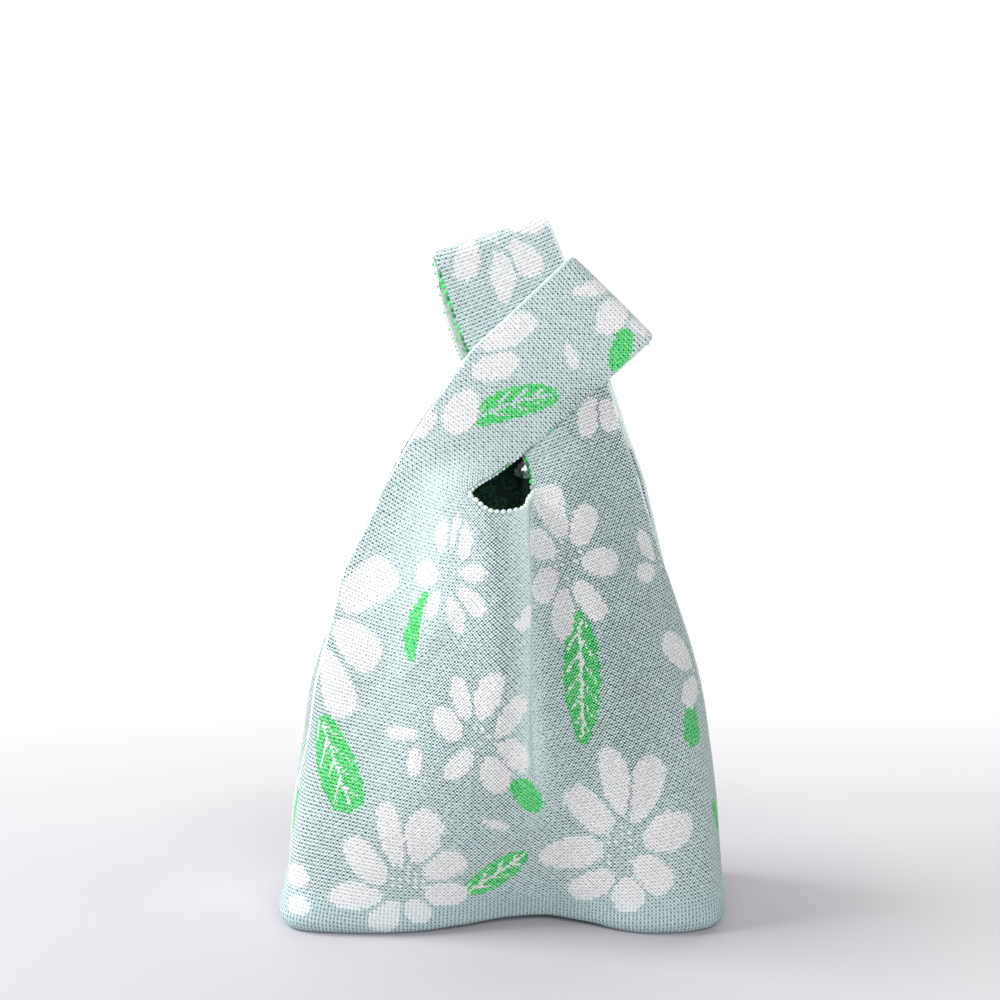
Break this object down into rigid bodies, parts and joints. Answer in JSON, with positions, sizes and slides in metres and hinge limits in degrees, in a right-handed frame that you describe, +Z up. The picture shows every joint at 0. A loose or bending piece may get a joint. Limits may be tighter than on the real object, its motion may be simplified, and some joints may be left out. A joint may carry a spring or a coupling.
{
  "type": "knitted knot tote bag",
  "caption": "Soft knitted tote bag with a boxed base, sides that taper upwards and wide straps knitted in one with the body, the right strap pulled through the loop of the left one.",
  "frame": {"origin": "on the ground, under the middle of the bag's bounding box", "axes": "+Z up, -Y towards the front with the neck opening, +X towards the right strap"},
  "size_m": [0.2329, 0.0956, 0.3592],
  "materials": {
    "knit": "matte knitted yarn, teal with white and green flower motifs, green on the inside"
  },
  "bodies": {
    "root": {"front_panel": "knit", "back_panel": "knit"}
  },
  "joints": []
}
